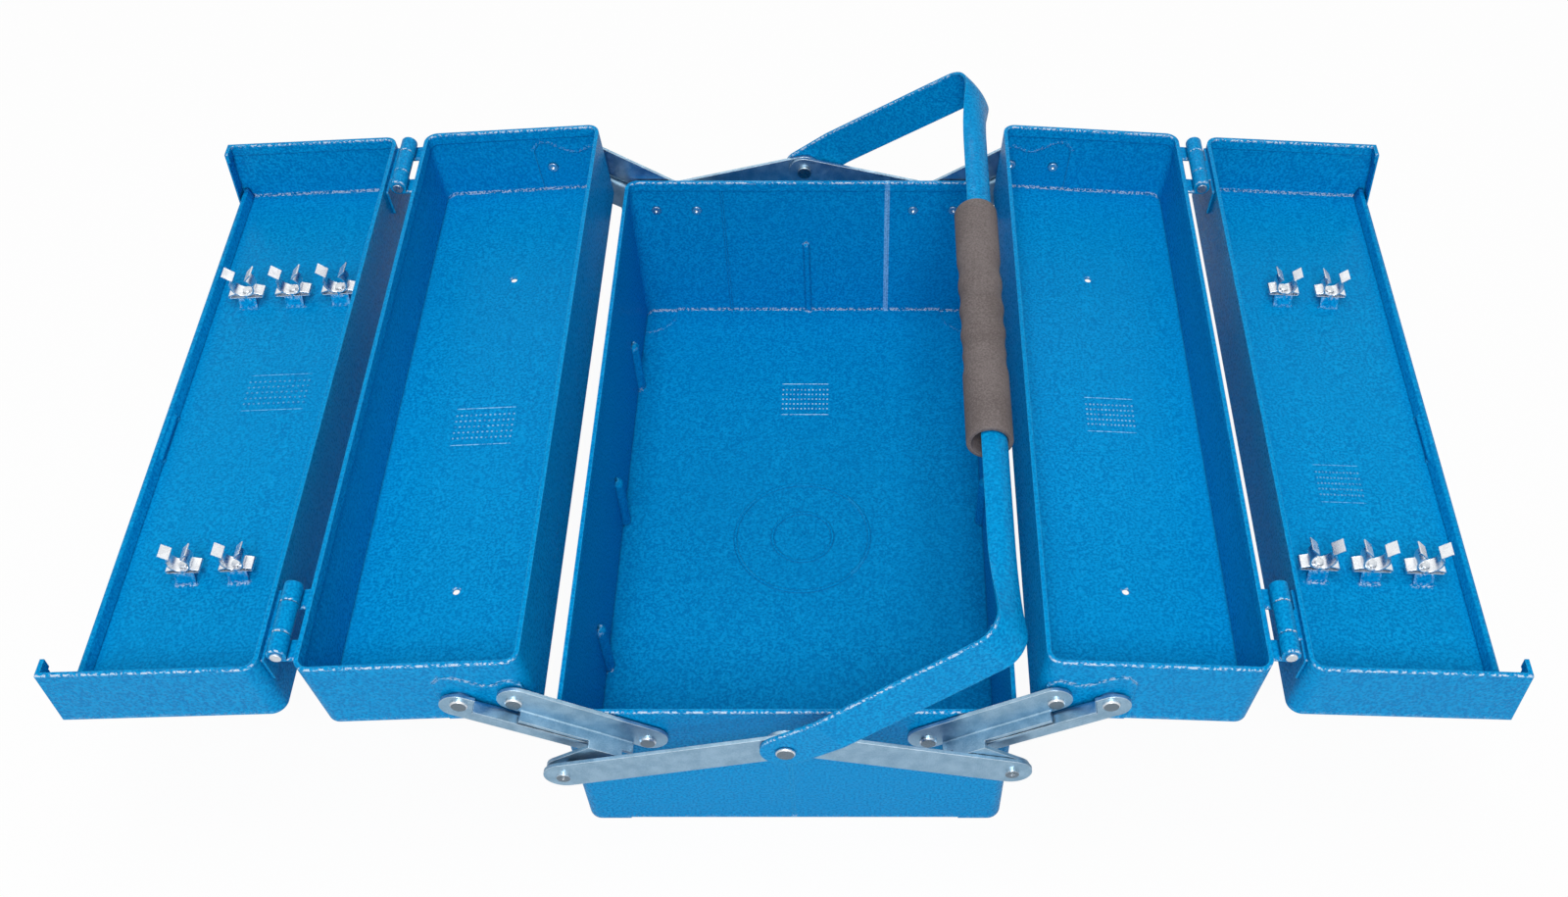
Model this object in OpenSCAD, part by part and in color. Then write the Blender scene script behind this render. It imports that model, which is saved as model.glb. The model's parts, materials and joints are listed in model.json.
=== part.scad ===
// Cantilever tool box with three compartments, drawn fully open.
// Two trays swing out on pairs of arms. The inner arm of each pair is a bell crank, and tie bars
// join the cranks to the handle's pins, so lifting the handle folds the box shut.
// Millimetres. X is the width, Y the length (front is -Y) and Z is up. The origin is on the
// floor, under the middle of the base box.

/* [Base box] */
// Outside width of the base box
base_w = 242; // [234:1:260]
// Outside length of the base box
base_l = 420; // [380:5:500]
// Height of the base box's rim
base_h = 121; // [110:1:140]
// Height of the pressed feet at the corners
foot_h = 1.2; // [1:0.1:3]
// Radius of the quarter-round feet
foot_r = 25; // [18:1:32]

/* [Sheet metal] */
// Thickness of the box's sheet
sheet = 1; // [0.8:0.1:1.2]
// Depth of the folded hem along each rim
hem_h = 7; // [5:0.5:9]
// Thickness of the rim over the folded hem
hem_t = 2.4; // [2.2:0.1:3]
// Outside radius of the upright corners
corner_r = 8; // [5:0.5:12]

/* [Pressed detail] */
// Radius of the large ring pressed into the base's floor
ring_r = 44.5; // [35:0.5:60]
// Radius of the small ring inside it
ring_small_r = 20; // [12:0.5:28]
// Half-width of the ring beads
bead_r = 1.1; // [0.8:0.1:1.5]
// Inward reach of the upright ribs in the side walls
rib_r = 4.7; // [3:0.1:6]
// Height of the side walls' ribs
rib_h = 45; // [30:1:60]
// Inward reach of the rib in each end wall
end_rib_r = 2.2; // [1.5:0.1:4]
// Height of the end walls' ribs
end_rib_h = 67; // [40:1:75]
// Distance from the middle to the creases in the end walls
crease_x = 57; // [45:1:62]
// Half-width of a crease
crease_r = 0.8; // [0.6:0.1:1.2]
// Height of the bosses in the trays' end walls above their outer pins
boss_over = 20; // [14:0.5:22]
// Reach of the bosses past their outer pins
boss_side = 11; // [8:0.5:14]
// Outward reach of the bosses
boss_t = 0.5; // [0.3:0.1:0.8]

/* [Trays] */
// Outside length of a tray
tray_l = 418; // [378:1:498]
// Height of a tray
tray_h = 50.6; // [42:0.2:60]
// Gap between the two trays when the box is shut
centre_gap = 10.6; // [6:0.2:14]
// Gap between the base's rim and a shut tray's floor
rest_gap = 1.9; // [1:0.1:4]
// Outward droop of an open tray in degrees
droop = 3.8; // [2:0.1:5]
// Distance from a tray's inner wall to its inner pin
tray_pin_in = 9.4; // [8.5:0.1:12]
// Spacing of a tray's two pins
tray_pin_gap = 28.5; // [26:0.1:32]
// Radius of the holes in a tray's floor
floor_hole_r = 2; // [1:0.1:4]
// Half the distance between those holes
floor_hole_y = 124; // [100:1:150]

/* [Lids] */
// Outside length of a lid
lid_l = 415; // [376:1:496]
// Height of a lid
lid_h = 43; // [36:0.5:48]
// Gap between the rims of a shut lid and its tray
lid_gap = 0.6; // [0.4:0.1:1.5]
// Setback of a shut lid's rim from the tray's inner wall
lid_setback = 1.3; // [0:0.1:4]
// Gap between the panels of the two shut lids
panel_gap = 1.2; // [0.6:0.1:3]
// Width of the upright corners left at a lid's open side
return_w = 10.5; // [6:0.5:20]
// Width of the flat hem along a lid's free edge
edge_w = 3.6; // [2:0.1:6]
// Run of the slope between the panel and that hem
edge_run = 3.2; // [1.5:0.1:6]
// Opening angle of a lid in degrees
lid_open = 179.4; // [170:0.1:180]
// Place of the pressed pad along a lid's free edge
pad_y = -14; // [-60:1:60]
// Length of the pad
pad_l = 37; // [20:1:60]

/* [Swing arms] */
// Distance from the middle to the inner arm's base pin
pivot_x = 75; // [72:0.5:78]
// Depth of the base pins below the base's rim
pivot_drop = 24.5; // [20:0.5:28]
// Length of the inner arm between its pins
arm_len = 75.8; // [72:0.2:80]
// Angle of the open inner arm above the level in degrees
arm_open = 31.7; // [30.5:0.1:34]
// Thickness of the arms' steel
arm_t = 2; // [1.5:0.1:2.2]
// Width of an arm on its plain side of the pins
arm_wide = 12; // [10:0.5:13]
// Width of an arm on its flanged side of the pins
arm_narrow = 7; // [6.6:0.1:7]
// Depth of the arms' flanges
flange_d = 8.5; // [6:0.5:9]
// Outside radius of the bends in the arms
bend_r = 3; // [2.5:0.1:4]

/* [Bell cranks] */
// Distance of the crank pin along the inner arm
crank_along = 33; // [30:0.5:36]
// Distance of the crank pin below the inner arm's line of pins
crank_down = 32.2; // [30:0.2:35]
// Outward step from the arm to the crank plate
crank_step = 11; // [10:0.5:14]
// Start of the shelf along the arm
shelf_from = 12; // [10.5:0.5:14]
// End of the shelf along the arm
shelf_to = 31; // [28:0.5:34]
// Radius of the crank's round end
crank_r = 9.5; // [8:0.5:11]

/* [Tie bars] */
// Depth of the handle's pins below the base's rim
centre_drop = 4.4; // [0:0.2:8]
// Width of a tie bar
tie_w = 21.5; // [16:0.5:24]
// Thickness of a tie bar
tie_t = 2; // [1.5:0.1:3]

/* [Pins] */
// Radius of the arms' rivets
rivet_r = 2.4; // [2:0.1:2.6]
// Radius of the arm rivets' heads
rivet_head_r = 4.65; // [4.4:0.05:5.5]
// Radius of the rivets' tails
tail_r = 3.1; // [3:0.1:4]
// Radius of the tie bars' rivet heads
tie_head_r = 3.7; // [3.4:0.1:6]
// Thickness of the washers under the arms
washer_t = 1; // [0.8:0.1:2]
// Radius of the washers
washer_r = 6; // [5:0.1:7]
// Radius of the handle's pins
pin_r = 3; // [2.5:0.1:4]
// Radius of the handle pins' heads
pin_head_r = 5.2; // [5:0.1:8]
// Thickness of the pins' and rivets' heads
head_t = 1.7; // [1.2:0.1:2]
// Radial play of a pin in its hole
pin_play = 0.05; // [0.02:0.01:0.09]
// Radial play of the tray rivets in the outer arms, the loose pivot of the linkage
loose_play = 0.9; // [0.8:0.05:1.2]
// Gap between plates that slide past each other
layer_gap = 0.3; // [0.2:0.05:0.6]

/* [Handle] */
// Width of the handle's strip
strip_w = 27; // [22:0.5:30]
// Thickness of the handle's strip
strip_t = 2; // [1.6:0.1:2.4]
// Distance from the handle's pins to the crossbar
handle_reach = 140; // [132:1:160]
// Angle of the resting handle above the level in degrees
handle_lean = 35; // [34:0.5:60]
// Length of the flat stretch of the legs past the pins
leg_flat = 28; // [27:1:40]
// Inward lean of the legs, as a slope
leg_slope = 0.13; // [0.05:0.01:0.16]
// Radius of the bends between the legs and the crossbar
handle_bend = 18; // [14:1:24]
// Angle through which the crossbar's strip is curled
curl = 178; // [150:1:220]
// Length of the foam grip
grip_l = 180; // [150:1:220]
// Radius of the foam grip
grip_r = 12.7; // [12:0.1:16]
// Place of the grip's middle along the crossbar
grip_y = 4; // [-10:1:10]
// Depth of the grip's finger grooves
groove_d = 0.8; // [0.2:0.1:1.5]

/* [Hinges] */
// Distance from the middle of the length to a hinge
hinge_y = 178; // [150:1:180]
// Length of a hinge
hinge_l = 44; // [30:1:50]
// Distance from a rim's outer face to the hinge's axis
hinge_reach = 9.3; // [8:0.1:12]
// Radius of the hinge's knuckles
knuckle_r = 5; // [4:0.1:6]
// Radius of the hinge's pin
hinge_pin_r = 2; // [1.5:0.1:2.5]
// Thickness of the hinge's leaves
leaf_t = 1.5; // [1:0.1:2]
// Height of the leaf on the wall
leaf_h = 17; // [12:0.5:22]

/* [Tool clips] */
// Spacing of the clips in a row
clip_pitch = 30.2; // [28:0.1:32]
// Place of the front row along the length
clip_front_y = -114.5; // [-125:0.5:-100]
// Place of the back row along the length
clip_back_y = 103.5; // [85:0.5:110]
// Inside radius of a clip's jaws
jaw_r = 6.7; // [5.5:0.1:7.5]
// Thickness of the clips' spring steel
clip_t = 0.8; // [0.6:0.1:1]
// Half-angle of the clip's mouth in degrees
mouth = 40; // [35:1:50]
// Length of the flared lips
lip = 7; // [5:0.1:8]
// Size of the clips in the rows of two, as a share of the others
small_clip = 0.86; // [0.8:0.01:1]
// Height of the raised steps that carry the clips
tab_h = 6.2; // [5:0.1:7]

/* [Hidden] */

$fn = 48;
over = 1;                         // how far a cutter runs past the face it cuts
paint = "#0a7cbc";
zinc = "#b4bcc6";
foam = "#6b625e";
left = -1;
right = 1;
front = -1;
back = 1;

// Turns a point [x, z] about the origin, anticlockwise as seen from the front.
function turned(p, a) = [p[0] * cos(a) - p[1] * sin(a), p[0] * sin(a) + p[1] * cos(a)];

// Widths that follow from the base box
tray_w = (base_w - centre_gap) / 2;
lid_w = tray_w - lid_setback;
panel_w = tray_w + (centre_gap - panel_gap) / 2;
floor_z = foot_h + sheet;

// Right-hand linkage, as [x, z]. A shut tray lies level above the rim, an open one droops.
pivot_z = base_h - pivot_drop;
inner_pivot = [pivot_x, pivot_z];
shut_pin_x = centre_gap / 2 + tray_pin_in;
arm_shut = acos((shut_pin_x - pivot_x) / arm_len);
shut_pin = [shut_pin_x, pivot_z + arm_len * sin(arm_shut)];
tray_pin_up = shut_pin[1] - base_h - rest_gap;
open_pin = inner_pivot + turned([arm_len, 0], arm_open);
open_pin_2 = open_pin + turned([tray_pin_gap, 0], -droop);
shut_pin_2 = shut_pin + [tray_pin_gap, 0];
// The outer arm's pivot is level with the inner one, and as far from its tray pin when open as
// when shut.
pin_2_move = open_pin_2 - shut_pin_2;
pin_2_middle = (open_pin_2 + shut_pin_2) / 2;
outer_pivot = [pin_2_middle[0] + (pin_2_middle[1] - pivot_z) * pin_2_move[1] / pin_2_move[0], pivot_z];
outer_arm_line = open_pin_2 - outer_pivot;
outer_len = norm(outer_arm_line);
outer_open = atan2(outer_arm_line[1], outer_arm_line[0]);
crank_pin = inner_pivot + turned([crank_along, -crank_down], arm_open);
centre_pin = [0, base_h - centre_drop];
tie_line = crank_pin - centre_pin;
tie_len = norm(tie_line);
tie_angle = atan2(tie_line[1], tie_line[0]);

// Start of the bosses at the corner
boss_from = 3;

// Layers outward from the end walls, as distances from the middle of the length
end_wall = base_l / 2;
tray_wall = tray_l / 2;
arm_y = end_wall + washer_t;
crank_y = arm_y + crank_step;
tie_right_y = crank_y + arm_t + layer_gap;
tie_left_y = tie_right_y + tie_t + layer_gap;
leg_y = tie_left_y + tie_t + layer_gap;

// Pressed detail: the side ribs along the length, the middle of the rings, and the dome in it
side_rib_places = [-base_l / 4, base_l / 42, base_l * 22 / 70];
ring_y = -4;
dome_r = 7;
dome_h = 0.9;

// Holes
bore_r = rivet_r + pin_play;
pin_bore_r = pin_r + pin_play;

// Hinge axis in the tray's frame, whose origin is the foot of the tray's inner wall
hinge_at = [tray_w + hinge_reach, tray_h + lid_gap / 2];
knuckle_gap = 0.4;
knuckle_l = (hinge_l - 2 * knuckle_gap) * 0.28;
middle_l = hinge_l - 2 * knuckle_l - 2 * knuckle_gap;

// Free edge of a lid: how far its hem leans in, and the share of its slope that the pad takes
edge_draft = 0.3;
pad_share = 0.62;

// Clips
tab_w = 11.5;
tab_ramp = 3.4;
clip_w = 23;
clip_l = 8.5;
flare = 42;
fold_r = 1.5;
fold_rise = 17;
jaw_lift = 1.4;
clip_rivet_r = 1.4;
clip_head_r = 2.2;
clip_head_t = 0.8;
clip_z = sheet + tab_h;
jaw_z = jaw_lift + 2 * clip_t;

// ---- Placing ----

// Mirrors a right-hand piece to the left.
module on_side(side) {
    mirror([side == left ? 1 : 0, 0, 0]) children();
}

// Mirrors a front piece to the back.
module on_end(end) {
    mirror([0, end == back ? 1 : 0, 0]) children();
}

// Draws in the plane of the arms: x runs from the pin at p along the angle, z is the distance
// from the middle of the length.
module in_plane(p, angle = 0) {
    translate([p[0], 0, p[1]]) rotate([90, 0, 0]) rotate([0, 0, angle]) children();
}

// Draws in the frame of the open right-hand tray.
module in_tray() {
    translate([open_pin[0], 0, open_pin[1]])
        rotate([0, droop, 0])
            translate([-tray_pin_in, 0, -tray_pin_up]) children();
}

// Draws in the frame of the open right-hand lid, whose origin is the foot of its hinged wall.
module in_lid() {
    in_tray()
        translate([hinge_at[0], 0, hinge_at[1]])
            rotate([0, lid_open - 180, 0])
                translate([hinge_reach, 0, -lid_h - lid_gap / 2]) children();
}

// Draws in the handle's frame: x runs from the pins to the crossbar, y along the crossbar.
module in_handle() {
    translate([centre_pin[0], 0, centre_pin[1]]) rotate([0, -handle_lean, 0]) children();
}

// ---- Sheet metal ----

// Rectangle with round corners, from the origin's edge at x = 0, centred in y.
module round_rect(w, l, r) {
    translate([r, -l / 2]) square([w - 2 * r, l]);
    translate([0, -l / 2 + r]) square([w, l - 2 * r]);
    for (x = [r, w - r], y = [-l / 2 + r, l / 2 - r])
        translate([x, y]) circle(r);
}

// Room inside walls of one thickness.
module room(w, l, wall) {
    translate([wall, 0]) round_rect(w - 2 * wall, l - 2 * wall, corner_r - wall);
}

// Open box of sheet with a folded hem round its rim.
module tub(w, l, h) {
    difference() {
        linear_extrude(h) round_rect(w, l, corner_r);
        translate([0, 0, sheet]) linear_extrude(h - sheet - hem_h) room(w, l, sheet);
        translate([0, 0, h - hem_h - 0.01]) linear_extrude(hem_h + over) room(w, l, hem_t);
    }
}

// Upright half-round rib with a domed top.
module rib(r, h) {
    cylinder(r = r, h = h - r);
    translate([0, 0, h - r]) sphere(r);
}

// ---- Base box ----

module feet_outline(inset) {
    intersection() {
        translate([-base_w / 2, 0])
            translate([inset, 0]) round_rect(base_w - 2 * inset, base_l - 2 * inset, corner_r - inset);
        for (x = [-1, 1], y = [-1, 1])
            translate([x * base_w / 2, y * base_l / 2]) circle(foot_r - inset);
    }
}

module side_ribs(r, from) {
    for (x = [-1, 1], y = side_rib_places)
        translate([x * (base_w / 2 - sheet), y, from]) rib(r, rib_h - from);
}

module end_ribs(r, from) {
    for (y = [-1, 1])
        translate([0, y * (end_wall - sheet), from]) rib(r, end_rib_h - from);
}

module ring_bead(r) {
    rotate_extrude() translate([r, 0]) circle(bead_r, $fn = 24);
}

module base_box() {
    color(paint) difference() {
        union() {
            translate([-base_w / 2, 0, foot_h]) tub(base_w, base_l, base_h - foot_h);
            linear_extrude(floor_z) feet_outline(0);
            intersection() {
                translate([-base_w / 2, 0, foot_h])
                    linear_extrude(base_h - foot_h) round_rect(base_w, base_l, corner_r);
                union() {
                    side_ribs(rib_r, foot_h);
                    end_ribs(end_rib_r, foot_h);
                    translate([0, ring_y, floor_z]) ring_bead(ring_r);
                    translate([0, ring_y, floor_z]) ring_bead(ring_small_r);
                    translate([0, ring_y, floor_z + dome_h - dome_r]) intersection() {
                        sphere(dome_r);
                        translate([0, 0, dome_r]) cube([2 * dome_r, 2 * dome_r, 3 * dome_h], center = true);
                    }
                    for (x = [-crease_x, crease_x], y = [-1, 1])
                        translate([x, y * (end_wall - sheet), foot_h])
                            cylinder(r = crease_r, h = base_h - hem_h);
                }
            }
        }
        translate([0, 0, sheet]) linear_extrude(foot_h + over) feet_outline(sheet);
        side_ribs(rib_r - sheet, floor_z + sheet);
        end_ribs(end_rib_r - sheet, floor_z + sheet);
        for (side = [left, right], end = [front, back], p = [inner_pivot, outer_pivot])
            on_side(side) on_end(end) in_plane(p)
                translate([0, 0, end_wall - sheet - over]) cylinder(r = bore_r, h = sheet + 2 * over);
    }
}

// ---- Rivets and washers ----

// Rivet along z through plates from z0 to z1, with a head outside and a dimpled tail inside.
module rivet(z0, z1, r, head_r, tail) {
    tail_t = 1.2;
    dimple = r * 0.5;
    difference() {
        union() {
            translate([0, 0, z0 - tail_t]) cylinder(r = tail, h = tail_t);
            translate([0, 0, z0]) cylinder(r = r, h = z1 - z0);
            translate([0, 0, z1]) cylinder(r = head_r, h = head_t * 0.6);
            translate([0, 0, z1 + head_t * 0.6])
                cylinder(r1 = head_r, r2 = head_r * 0.86, h = head_t * 0.4);
        }
        translate([0, 0, z0 - tail_t - over]) cylinder(r = dimple, h = over + tail_t * 0.7);
    }
}

module washer(r, bore, t) {
    difference() {
        cylinder(r = r, h = t);
        translate([0, 0, -over]) cylinder(r = bore, h = t + 2 * over);
    }
}

module base_rivets() {
    color(zinc)
        for (side = [left, right], end = [front, back], p = [inner_pivot, outer_pivot])
            on_side(side) on_end(end) in_plane(p)
                rivet(end_wall - sheet, arm_y + arm_t, rivet_r, rivet_head_r, tail_r);
}

module base_washers() {
    color(zinc)
        for (side = [left, right], end = [front, back], p = [inner_pivot, outer_pivot])
            on_side(side) on_end(end) in_plane(p)
                translate([0, 0, end_wall]) washer(washer_r, bore_r, washer_t);
}

module tray_rivets(side) {
    color(zinc)
        for (end = [front, back], p = [open_pin, open_pin_2])
            on_side(side) on_end(end) in_plane(p)
                rivet(tray_wall - sheet, arm_y + arm_t, rivet_r, rivet_head_r, tail_r);
}

module tray_washers(side) {
    color(zinc)
        for (end = [front, back], p = [open_pin, open_pin_2])
            on_side(side) on_end(end) in_plane(p)
                translate([0, 0, tray_wall + boss_t])
                    washer(washer_r, bore_r, arm_y - tray_wall - boss_t);
}

// Half of each opened crank pivot: a stub through the crank plate with its tail behind.
module crank_rivets(side) {
    color(zinc)
        for (end = [front, back])
            on_side(side) on_end(end) in_plane(crank_pin) {
                translate([0, 0, crank_y]) cylinder(r = rivet_r, h = arm_t);
                difference() {
                    translate([0, 0, crank_y - head_t]) cylinder(r = tie_head_r, h = head_t);
                    translate([0, 0, crank_y - head_t - over]) cylinder(r = 1.2, h = head_t);
                }
            }
}

module crank_spacers() {
    color(zinc)
        for (end = [front, back])
            on_side(left) on_end(end) in_plane(crank_pin)
                translate([0, 0, crank_y + arm_t]) cylinder(r = washer_r, h = tie_t + layer_gap);
}

module tie_rivets(side) {
    tie_y = side == right ? tie_right_y : tie_left_y;
    color(zinc)
        for (end = [front, back])
            on_side(side) on_end(end) in_plane(crank_pin) {
                translate([0, 0, tie_y]) cylinder(r = rivet_r, h = tie_t);
                difference() {
                    translate([0, 0, tie_y + tie_t]) cylinder(r = tie_head_r, h = head_t);
                    translate([0, 0, tie_y + tie_t + 0.6]) cylinder(r = 1.2, h = head_t);
                }
            }
}

module centre_pins() {
    tail_t = 1.5;
    color(zinc)
        for (end = [front, back])
            on_end(end) in_plane(centre_pin) {
                translate([0, 0, tie_right_y - layer_gap - tail_t]) cylinder(r = pin_r + 1.5, h = tail_t);
                translate([0, 0, tie_right_y - layer_gap - tail_t])
                    cylinder(r = pin_r, h = leg_y + strip_t + layer_gap - tie_right_y + layer_gap + tail_t);
                translate([0, 0, leg_y + strip_t + layer_gap]) {
                    cylinder(r = pin_head_r, h = head_t * 0.6);
                    translate([0, 0, head_t * 0.6])
                        cylinder(r1 = pin_head_r, r2 = pin_head_r * 0.88, h = head_t * 0.4);
                }
            }
}

// ---- Arms ----

// Plate edge turned up through a quarter circle: it runs along x from a to b, the plate lies at
// y > 0, z from 0 to arm_t, and the flange stands along y = 0 up to the given height.
module turned_edge(a, b, height) {
    translate([a, 0, 0]) rotate([90, 0, 90]) linear_extrude(b - a) {
        intersection() {
            difference() {
                translate([bend_r, bend_r]) circle(bend_r);
                translate([bend_r, bend_r]) circle(bend_r - arm_t);
            }
            square([bend_r, bend_r]);
        }
        translate([0, bend_r - 0.01]) square([arm_t, height - bend_r + 0.01]);
    }
}

// Flat web of an arm with round ends, flanged along its narrow side, which is below the pins.
module arm_web(len) {
    end_r = (arm_wide + arm_narrow) / 2;
    middle = (arm_wide - arm_narrow) / 2;
    difference() {
        linear_extrude(arm_t) {
            for (x = [0, len]) translate([x, middle]) circle(end_r);
            translate([0, middle - end_r]) square([len, 2 * end_r]);
        }
        // The bend starts where the flat ends
        translate([shelf_from - 6, -arm_narrow - over, -over])
            cube([len - 2 * shelf_from + 12, bend_r + over, arm_t + 2 * over]);
    }
    translate([0, -arm_narrow, 0]) turned_edge(shelf_from - 6, len - shelf_from + 6, flange_d);
}

// Bell crank: the arm, a shelf that carries its flange outward, and the crank plate.
module inner_arm(side, end) {
    pin = [crank_along, -crank_down];
    color(zinc) on_side(side) on_end(end) in_plane(inner_pivot, arm_open) translate([0, 0, arm_y])
        difference() {
            union() {
                arm_web(arm_len);
                translate([shelf_from, -arm_narrow, bend_r])
                    cube([shelf_to - shelf_from, arm_t, crank_step + arm_t - bend_r]);
                translate([0, 0, crank_step]) linear_extrude(arm_t) {
                    polygon([
                        [shelf_from, arm_t - arm_narrow],
                        [shelf_to, arm_t - arm_narrow],
                        pin + turned([crank_r, 0], 24),
                        pin + turned([crank_r, 0], -90),
                        pin + turned([crank_r, 0], 200),
                    ]);
                    translate(pin) circle(crank_r);
                }
            }
            for (x = [0, arm_len])
                translate([x, 0, -over]) cylinder(r = bore_r, h = arm_t + 2 * over);
            translate([pin[0], pin[1], crank_step - over]) cylinder(r = bore_r, h = arm_t + 2 * over);
        }
}

module outer_arm(side, end) {
    color(zinc) on_side(side) on_end(end) in_plane(outer_pivot, outer_open) translate([0, 0, arm_y])
        difference() {
            mirror([0, 1, 0]) arm_web(outer_len);
            translate([0, 0, -over]) cylinder(r = bore_r, h = arm_t + 2 * over);
            translate([outer_len, 0, -over]) cylinder(r = rivet_r + loose_play, h = arm_t + 2 * over);
        }
}

module tie_bar(side, end) {
    tie_y = side == right ? tie_right_y : tie_left_y;
    color(zinc) on_side(side) on_end(end) in_plane(centre_pin, tie_angle) translate([0, 0, tie_y])
        difference() {
            linear_extrude(tie_t) {
                for (x = [0, tie_len]) translate([x, 0]) circle(tie_w / 2);
                translate([0, -tie_w / 2]) square([tie_len, tie_w]);
            }
            translate([0, 0, -over]) cylinder(r = pin_bore_r, h = tie_t + 2 * over);
            translate([tie_len, 0, -over]) cylinder(r = bore_r, h = tie_t + 2 * over);
        }
}

// ---- Trays ----

// Arched area round a tray pin, from the tray's floor to above the pin.
// Boss pressed out round both pins of a tray's end wall, in the wall's [x, z]. It rises in an arch
// over the inner pin, dips, and slopes up past the outer pin.
module boss_outline(inset) {
    x1 = tray_pin_in;
    x2 = x1 + tray_pin_gap;
    top = tray_pin_up - inset;
    polygon([[boss_from + inset, 0], [boss_from + inset, top + 10], [x1 - 3, top + 14],
        [x1, top + 15], [x1 + 3, top + 14], [x1 + 9, top + 11.5], [x1 + 14, top + 11.5],
        [x2, top + boss_over], [x2 + boss_side / 2, top + boss_over],
        [x2 + boss_side - inset, top + boss_over * 0.7], [x2 + boss_side - inset, 0]]);
}

module tray(side) {
    color(paint) on_side(side) in_tray() difference() {
        union() {
            tub(tray_w, tray_l, tray_h);
            for (end = [front, back]) on_end(end) rotate([90, 0, 0])
                translate([0, 0, tray_wall - sheet]) linear_extrude(sheet + boss_t) intersection() {
                    boss_outline(0);
                    square([tray_w, tray_h]);
                }
        }
        for (end = [front, back]) on_end(end) rotate([90, 0, 0]) {
            translate([0, 0, tray_wall - sheet - over]) linear_extrude(over + boss_t) intersection() {
                boss_outline(sheet);
                translate([0, sheet]) square([tray_w, tray_h]);
            }
            for (x = [tray_pin_in, tray_pin_in + tray_pin_gap])
                translate([x, tray_pin_up, tray_wall - sheet - over])
                    cylinder(r = bore_r, h = sheet + boss_t + 2 * over);
        }
        for (y = [-floor_hole_y, floor_hole_y])
            translate([tray_w / 2, ring_y + y, -over]) cylinder(r = floor_hole_r, h = sheet + 2 * over);
    }
}

// ---- Hinges, in the tray's frame ----

// Section of a leaf at a knuckle: wall plate, strap under the knuckle and the knuckle itself.
module knuckle_section() {
    difference() {
        union() {
            leaf_section();
            translate([0, -knuckle_r]) square([hinge_reach, leaf_t]);
            translate([hinge_reach, 0]) circle(knuckle_r);
        }
        translate([hinge_reach, 0]) circle(hinge_pin_r + pin_play);
    }
}

module leaf_section() {
    translate([0, -knuckle_r - leaf_h + leaf_t]) square([leaf_t, leaf_h]);
}

// Extrudes a section in [x, z] along the length, centred at y.
module along(y, l) {
    translate([0, y + l / 2, 0]) rotate([90, 0, 0]) linear_extrude(l) children();
}

module hinge_tray_leaves(side) {
    color(paint) on_side(side) in_tray() for (y = [-hinge_y, hinge_y])
        translate([tray_w, y, hinge_at[1]]) {
            along(0, hinge_l) leaf_section();
            for (d = [-1, 1]) along(d * (hinge_l - knuckle_l) / 2, knuckle_l) knuckle_section();
        }
}

module hinge_lid_leaves(side) {
    color(paint) on_side(side) in_lid() for (y = [-hinge_y, hinge_y])
        translate([0, y, lid_h + lid_gap / 2]) mirror([1, 0, 0]) {
            along(0, hinge_l) leaf_section();
            along(0, middle_l) knuckle_section();
        }
}

module hinge_pins(side) {
    pin_head = hinge_pin_r + 1;
    color(zinc) on_side(side) in_tray() for (y = [-hinge_y, hinge_y])
        translate([hinge_at[0], y + hinge_l / 2, hinge_at[1]]) rotate([90, 0, 0]) {
            cylinder(r = hinge_pin_r, h = hinge_l);
            translate([0, 0, hinge_l]) cylinder(r = pin_head, h = 1.4);
        }
}

// ---- Lids ----

// Step that carries a clip, in [y, z]: a steep ramp from the panel up to a shelf.
module tab_section() {
    shelf = clip_l / 2 - 0.5;
    miter = sheet * tan(atan2(tab_h, tab_ramp) / 2);
    polygon([[-shelf - tab_ramp, 0], [-shelf, tab_h], [shelf, tab_h], [shelf, tab_h + sheet],
        [-shelf - miter, tab_h + sheet], [-shelf - tab_ramp - miter, sheet]]);
}

// Middle of each clip along the lid's width, for a row of the given count.
function clip_places(count) = [for (i = [0:count - 1]) panel_w / 2 + (i - (count - 1) / 2) * clip_pitch];

// Clips in a row: the left lid has three at the back, the right lid three at the front.
function row_count(side, end) = (side == left) == (end == back) ? 3 : 2;
function row_y(end) = end == front ? clip_front_y : clip_back_y;

// Room inside a lid whose walls are t thick, from the height z0 up. Its open side leans in
// towards the rim, because the panels of the two shut lids meet over the gap between the trays.
module lid_block(t, z0, z1) {
    lean = (panel_w - lid_w) / lid_h;
    intersection() {
        translate([t, 0, z0]) linear_extrude(z1 - z0)
            round_rect(panel_w + corner_r, lid_l - 2 * t, corner_r - t);
        along(0, lid_l)
            polygon([[t, z0], [panel_w - t - lean * z0, z0], [panel_w - t - lean * z1, z1], [t, z1]]);
    }
}

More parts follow.
